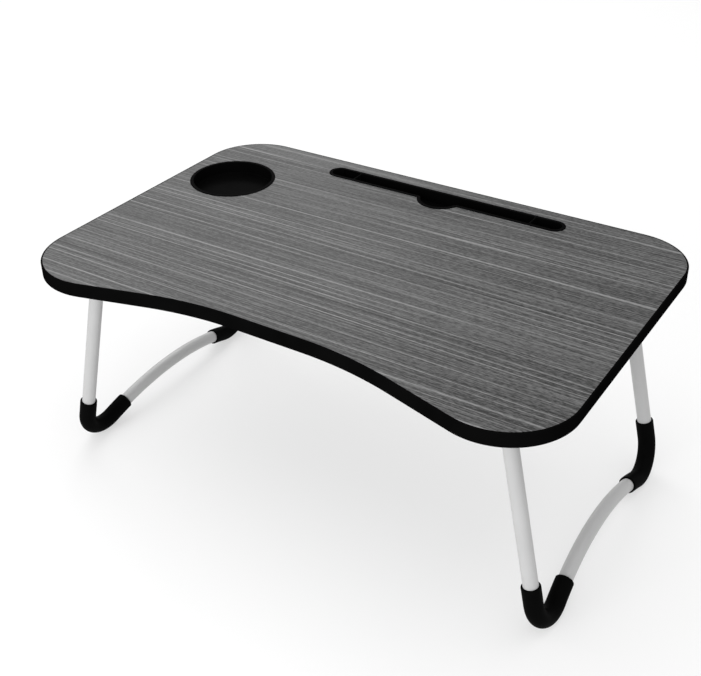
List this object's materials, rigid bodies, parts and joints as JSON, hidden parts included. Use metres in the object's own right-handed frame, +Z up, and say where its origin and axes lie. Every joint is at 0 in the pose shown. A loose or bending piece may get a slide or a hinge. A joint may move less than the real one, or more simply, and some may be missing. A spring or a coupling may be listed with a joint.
{
  "type": "folding laptop tray",
  "caption": "Folding lap desk: wood-grain board with a hollowed front edge, a cup recess and a tablet slot, on splayed tube leg frames that fold flat beneath it.",
  "frame": {"origin": "on the floor under the middle of the board", "axes": "+X along the board's long side to the user's right, +Y from the user to the rear edge, +Z up"},
  "size_m": [0.6005, 0.4, 0.2608],
  "materials": {
    "core_board": "fibreboard, sawn and covered",
    "wood_grain": "satin laminate with a fine straight grain",
    "backing": "plain dark backing laminate",
    "edge_band": "black satin edge band",
    "insert_plastic": "black moulded plastic, satin",
    "leg_paint": "light silver powder paint",
    "sleeve_rubber": "black soft moulding",
    "plug_plastic": "black moulded plastic",
    "clip_plastic": "black moulded plastic",
    "bracket_steel": "zinc-plated pressed sheet",
    "pin_steel": "zinc-plated rivet",
    "screw_steel": "zinc-plated wood screw"
  },
  "bodies": {
    "board": {"board_core": "core_board", "top_laminate": "wood_grain", "bottom_laminate": "backing", "edge_band": "edge_band", "cup_insert": "insert_plastic", "slot_insert": "insert_plastic", "left_fold_clip": "clip_plastic", "right_fold_clip": "clip_plastic", "bracket_screws": "screw_steel", "clip_screws": "screw_steel", "left_front_bracket": "bracket_steel", "left_front_pin": "pin_steel", "left_rear_bracket": "bracket_steel", "left_rear_pin": "pin_steel", "right_front_bracket": "bracket_steel", "right_front_pin": "pin_steel", "right_rear_bracket": "bracket_steel", "right_rear_pin": "pin_steel"},
    "left_leg": {"left_leg_tube": "leg_paint", "left_front_end_plug": "plug_plastic", "left_front_foot_sleeve": "sleeve_rubber", "left_rear_end_plug": "plug_plastic", "left_rear_foot_sleeve": "sleeve_rubber"},
    "right_leg": {"right_leg_tube": "leg_paint", "right_front_end_plug": "plug_plastic", "right_front_foot_sleeve": "sleeve_rubber", "right_rear_end_plug": "plug_plastic", "right_rear_foot_sleeve": "sleeve_rubber"}
  },
  "joints": [
    {"name": "left_leg_fold", "type": "hinge", "parent": "board", "child": "left_leg", "pos_m": [-0.24, 0, 0.229], "axis": [0, -1, 0], "range_deg": [0, 103]},
    {"name": "right_leg_fold", "type": "hinge", "parent": "board", "child": "right_leg", "pos_m": [0.24, 0, 0.229], "axis": [0, 1, 0], "range_deg": [0, 103]}
  ]
}
